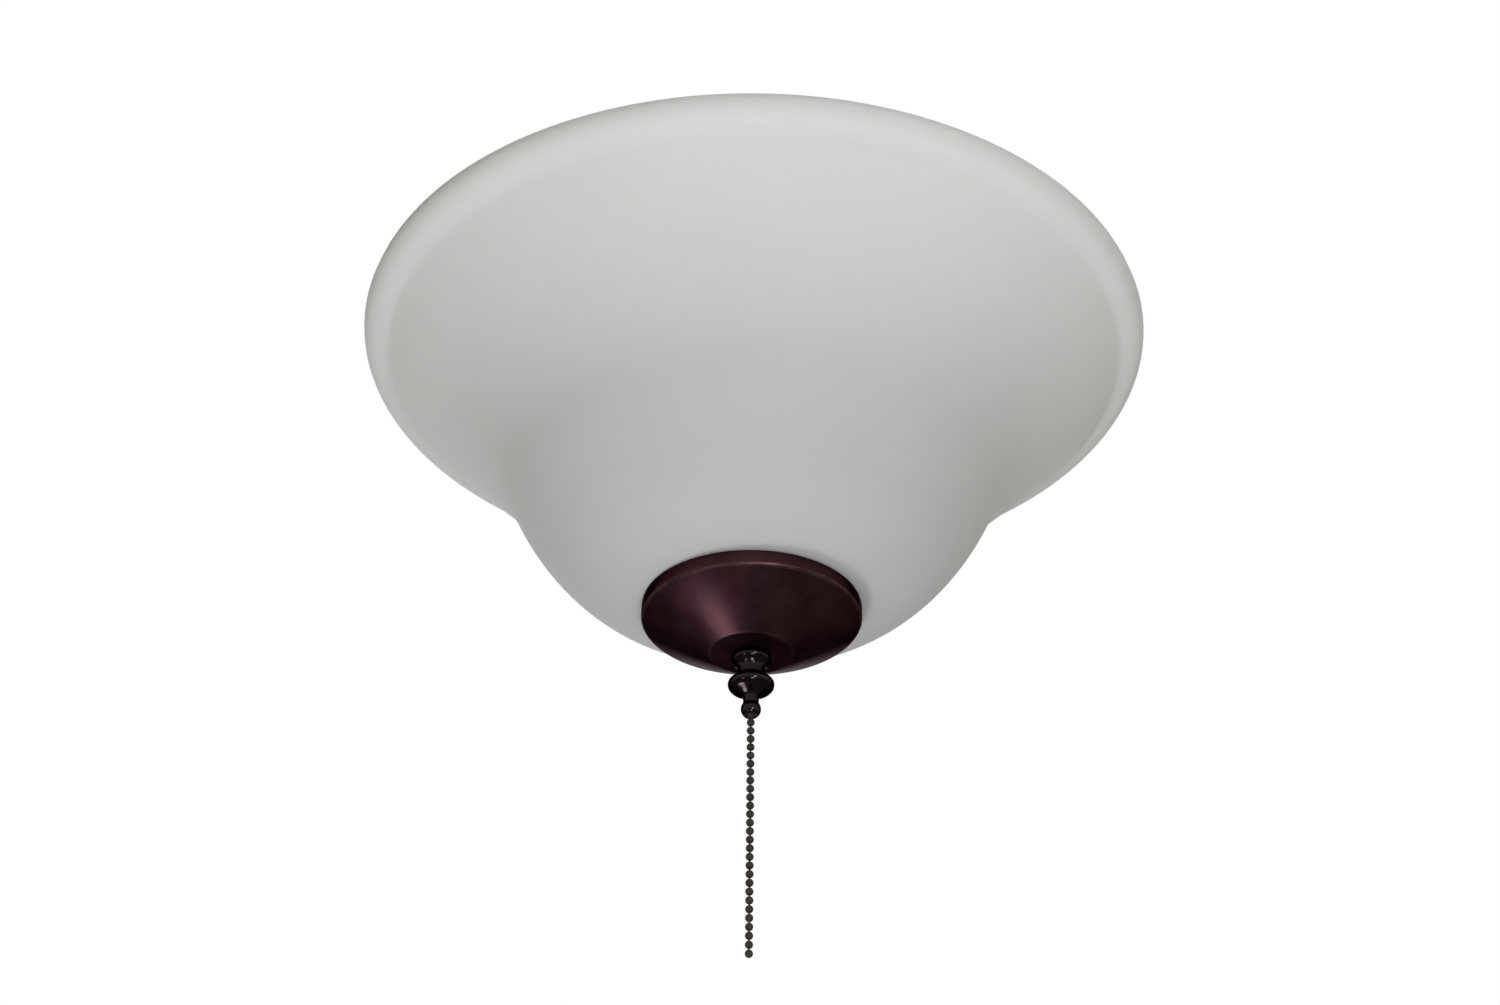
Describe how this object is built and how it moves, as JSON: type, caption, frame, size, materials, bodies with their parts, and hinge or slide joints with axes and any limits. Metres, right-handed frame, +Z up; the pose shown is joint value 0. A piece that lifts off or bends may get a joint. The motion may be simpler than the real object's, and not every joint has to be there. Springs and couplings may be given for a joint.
{
  "type": "ceiling fan light kit",
  "caption": "Light kit that hangs under a ceiling fan: a frosted glass bowl held below lamp sockets by a bronze cap and finial, with a bead chain for its pull switch.",
  "frame": {"origin": "centre of the fitter pan's top face, on the axis of the threaded nipple that the fan holds", "axes": "+Z up towards the fan, -Y towards the viewer of the picture, +X to the viewer's right"},
  "size_m": [0.33, 0.33, 0.3131],
  "materials": {
    "oil_rubbed_bronze": "satin oil-rubbed bronze, dark red-brown",
    "frosted_glass": "etched opal glass, evenly frosted outside",
    "painted_steel": "powder-coated dark bronze",
    "zinc_plate": "bright zinc plate",
    "brass": "plain stamped brass",
    "nickel_plate": "nickel-plated brass",
    "porcelain": "glazed white porcelain",
    "black_phenolic": "moulded black phenolic",
    "nylon": "moulded natural nylon",
    "rubber": "black rubber",
    "frosted_bulb": "inside-frosted lamp glass",
    "bronze_chain": "dark bronze plated bead chain",
    "spring_steel": "plain spring steel",
    "white_lead": "white wire insulation",
    "black_lead": "black wire insulation"
  },
  "bodies": {
    "fitter": {"fitter_pan": "painted_steel", "top_nipple": "zinc_plate", "top_lock_washer": "zinc_plate", "top_nut": "zinc_plate", "inner_lock_washer": "zinc_plate", "inner_nut": "zinc_plate", "cluster_body": "painted_steel", "cluster_cover": "painted_steel", "cover_screw_1": "zinc_plate", "cover_screw_2": "zinc_plate", "cover_screw_3": "zinc_plate", "switch_bracket": "zinc_plate", "switch_case": "black_phenolic", "switch_lid": "black_phenolic", "switch_bush": "brass", "bush_nut": "zinc_plate", "drum_axle": "spring_steel", "return_spring": "spring_steel", "contact_rotor": "black_phenolic", "terminal_1": "brass", "terminal_2": "brass", "hollow_bolt_1": "zinc_plate", "hollow_bolt_2": "zinc_plate", "hollow_bolt_3": "zinc_plate", "socket_body_1": "porcelain", "socket_body_2": "porcelain", "socket_body_3": "porcelain", "screw_shell_1": "brass", "screw_shell_2": "brass", "screw_shell_3": "brass", "centre_contact_1": "brass", "centre_contact_2": "brass", "centre_contact_3": "brass", "lamp_base_1": "nickel_plate", "lamp_base_2": "nickel_plate", "lamp_base_3": "nickel_plate", "bulb_1": "frosted_bulb", "bulb_2": "frosted_bulb", "bulb_3": "frosted_bulb", "white_leads": "white_lead", "black_leads": "black_lead", "centre_stem": "zinc_plate", "stem_upper_nut": "zinc_plate", "stem_washer": "zinc_plate", "stem_lower_nut": "zinc_plate", "stop_nut": "zinc_plate", "seat_washer": "zinc_plate", "upper_gasket": "rubber"},
    "bowl": {"glass_bowl": "frosted_glass", "cap_gasket": "rubber", "retaining_cap": "oil_rubbed_bronze"},
    "finial_knob": {"finial": "oil_rubbed_bronze"},
    "drum": {"switch_drum": "nylon", "drum_chain": "bronze_chain"},
    "upper_chain": {"chain_upper": "bronze_chain"},
    "swing_link": {"chain_link": "bronze_chain"},
    "hanging_chain": {"chain_lower": "bronze_chain"}
  },
  "joints": [
    {"name": "bowl_lower", "type": "slide", "parent": "fitter", "child": "bowl", "axis": [0, 0, -1], "range_m": [0, 0.006]},
    {"name": "finial_turn", "type": "hinge", "parent": "bowl", "child": "finial_knob", "pos_m": [0, 0, -0.17075], "axis": [0, 0, -1], "range_deg": [0, 2163]},
    {"name": "chain_pull", "type": "slide", "parent": "fitter", "child": "upper_chain", "axis": [0, 0, -1], "range_m": [0, 0.009], "stiffness_N_per_m": 900, "springref_m": -0.006},
    {"name": "drum_turn", "type": "hinge", "parent": "fitter", "child": "drum", "pos_m": [0.006, 0, -0.02726], "axis": [0, -1, 0], "range_deg": [0, 86], "deforming": ["return_spring", "drum_chain"]},
    {"name": "chain_swing_x", "type": "hinge", "parent": "upper_chain", "child": "swing_link", "pos_m": [0, 0, -0.21239], "axis": [1, 0, 0], "range_deg": [-35, 35]},
    {"name": "chain_swing_y", "type": "hinge", "parent": "swing_link", "child": "hanging_chain", "pos_m": [0, 0, -0.21602], "axis": [0, 1, 0], "range_deg": [-35, 35]}
  ],
  "couplings": [
    {"joint": "finial_turn", "follows": "bowl_lower", "rad_per_m": 6283.2},
    {"joint": "drum_turn", "follows": "chain_pull", "rad_per_m": 166.67}
  ]
}
